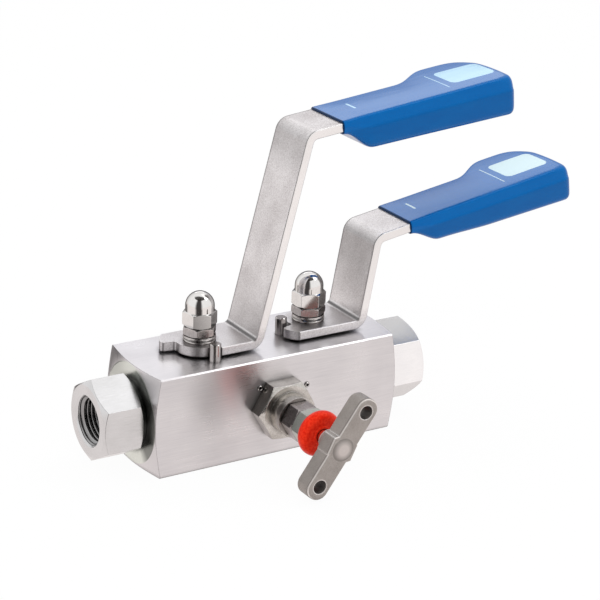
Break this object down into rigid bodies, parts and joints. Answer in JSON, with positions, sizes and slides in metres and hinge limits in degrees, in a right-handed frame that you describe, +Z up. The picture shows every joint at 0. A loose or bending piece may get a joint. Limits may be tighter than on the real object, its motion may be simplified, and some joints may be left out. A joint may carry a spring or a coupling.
{
  "type": "double block and bleed valve manifold",
  "caption": "Inline instrument manifold: a square steel body with lever ball valves, a needle bleed valve with T handle, and female pipe ends.",
  "frame": {"origin": "centre of the body block's flat underside", "axes": "+X along the flow axis from inlet to outlet, -Y out along the bleed valve, +Z up towards the levers"},
  "size_m": [0.2402, 0.0966, 0.1518],
  "materials": {
    "block_steel": "satin, ground bar",
    "connector_steel": "turned and milled",
    "lever_steel": "pickled flat bar",
    "polished_steel": "mirror polished stainless",
    "bonnet_steel": "machined",
    "dark_steel": "dark oxidised",
    "pin_steel": "ground dowel",
    "cast_handle_steel": "investment cast, shot blasted",
    "grip_vinyl": "glossy moulded vinyl",
    "red_cap_plastic": "glossy moulded",
    "seat_ptfe": "white, waxy",
    "seal_rubber": "matt black"
  },
  "bodies": {
    "valve_body": {"valve_block": "block_steel", "inlet_connector": "connector_steel", "inlet_connector_seal": "seal_rubber", "outlet_connector": "connector_steel", "outlet_connector_seal": "seal_rubber", "upstream_outer_seat": "seat_ptfe", "upstream_inner_seat": "seat_ptfe", "upstream_thrust_washer": "seat_ptfe", "upstream_packing": "seat_ptfe", "upstream_gland_ring": "connector_steel", "upstream_stop_pin": "pin_steel", "downstream_outer_seat": "seat_ptfe", "downstream_inner_seat": "seat_ptfe", "downstream_thrust_washer": "seat_ptfe", "downstream_packing": "seat_ptfe", "downstream_gland_ring": "connector_steel", "downstream_stop_pin": "pin_steel", "bonnet_lock_pins": "pin_steel", "bleed_bonnet": "bonnet_steel", "bleed_packing": "seat_ptfe", "bleed_lock_nut": "dark_steel", "bleed_gland_nut": "bonnet_steel", "bleed_dust_cap": "red_cap_plastic"},
    "upstream_lever_set": {"upstream_ball": "polished_steel", "upstream_stem": "connector_steel", "upstream_lever": "lever_steel", "upstream_grip": "grip_vinyl", "upstream_washers": "dark_steel", "upstream_jam_nut": "connector_steel", "upstream_domed_nut": "polished_steel"},
    "downstream_lever_set": {"downstream_ball": "polished_steel", "downstream_stem": "connector_steel", "downstream_lever": "lever_steel", "downstream_grip": "grip_vinyl", "downstream_washers": "dark_steel", "downstream_jam_nut": "connector_steel", "downstream_domed_nut": "polished_steel"},
    "bleed_needle": {"bleed_needle_tip": "polished_steel"},
    "bleed_handle_set": {"bleed_stem": "polished_steel", "bleed_t_handle": "cast_handle_steel", "bleed_grub_screw": "dark_steel"}
  },
  "joints": [
    {"name": "upstream_lever_turn", "type": "hinge", "parent": "valve_body", "child": "upstream_lever_set", "pos_m": [-0.027, 0, 0.0474], "axis": [0, 0, 1], "range_deg": [0, 90]},
    {"name": "downstream_lever_turn", "type": "hinge", "parent": "valve_body", "child": "downstream_lever_set", "pos_m": [0.027, 0, 0.0474], "axis": [0, 0, 1], "range_deg": [0, 90]},
    {"name": "bleed_lift", "type": "slide", "parent": "valve_body", "child": "bleed_needle", "axis": [0, -1, 0], "range_m": [0, 0.003]},
    {"name": "bleed_turn", "type": "hinge", "parent": "bleed_needle", "child": "bleed_handle_set", "pos_m": [0, -0.05, 0.02223], "axis": [0, -1, 0], "range_deg": [0, 1080]}
  ],
  "couplings": [
    {"joint": "bleed_lift", "follows": "bleed_turn", "m_per_rad": 0.00015915}
  ]
}
